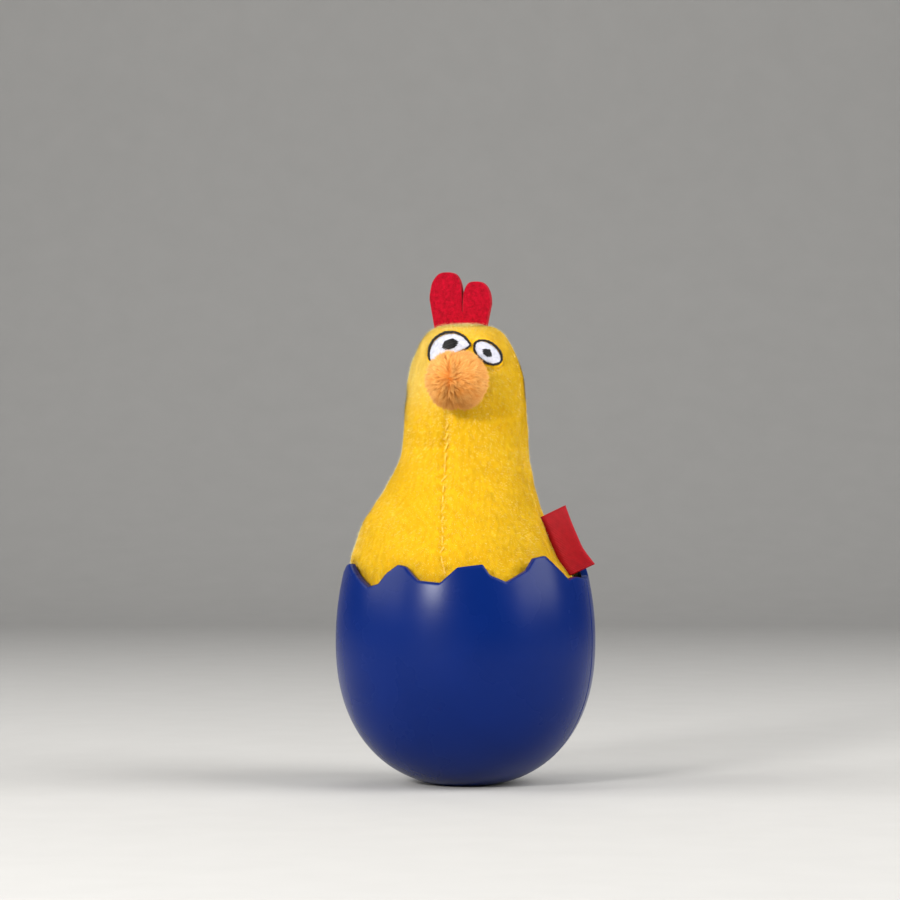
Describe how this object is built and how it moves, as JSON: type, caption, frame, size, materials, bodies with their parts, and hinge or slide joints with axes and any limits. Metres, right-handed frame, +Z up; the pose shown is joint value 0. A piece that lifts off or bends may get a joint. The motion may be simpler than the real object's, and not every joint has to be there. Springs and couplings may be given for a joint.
{
  "type": "squeaky tumbler dog toy",
  "caption": "Roly-poly dog toy: a stuffed plush chick with felt comb, round beak and embroidered eyes, standing in a weighted rubber half egg with a jagged rim.",
  "frame": {"origin": "middle of the flat spot under the rubber shell", "axes": "+Z up through the toy, -Y towards the front seam of the plush, +X towards the side with the label"},
  "size_m": [0.0683, 0.068, 0.134],
  "materials": {
    "shell_rubber": "moulded rubber, satin",
    "yellow_plush": "short-pile plush",
    "orange_plush": "longer-pile plush",
    "red_felt": "pressed felt",
    "red_ribbon": "woven satin ribbon",
    "white_thread": "satin-stitch embroidery",
    "black_thread": "satin-stitch embroidery",
    "yellow_thread": "sewing thread",
    "lining_cloth": "plain woven cloth",
    "polyester_filling": "loose fibre filling",
    "cast_weight": "rough cast",
    "white_plastic": "moulded",
    "bulb_plastic": "blow-moulded",
    "reed_metal": "thin strip"
  },
  "bodies": {
    "root": {"egg_shell": "shell_rubber", "base_weight": "cast_weight", "weight_cap": "white_plastic", "retaining_ring": "white_plastic", "lining_pouch": "lining_cloth", "plush_front": "yellow_plush", "plush_back": "yellow_plush", "body_stuffing": "polyester_filling", "front_seam_thread": "yellow_thread", "left_seam_thread": "yellow_thread", "right_seam_thread": "yellow_thread", "comb": "red_felt", "beak_left": "orange_plush", "beak_right": "orange_plush", "beak_stuffing": "polyester_filling", "left_eye_white": "white_thread", "left_eye_outline": "black_thread", "left_eye_pupil": "black_thread", "right_eye_white": "white_thread", "right_eye_outline": "black_thread", "right_eye_pupil": "black_thread", "side_label": "red_ribbon", "squeaker_bulb": "bulb_plastic", "squeaker_plug": "white_plastic", "squeaker_reed": "reed_metal"}
  },
  "joints": []
}
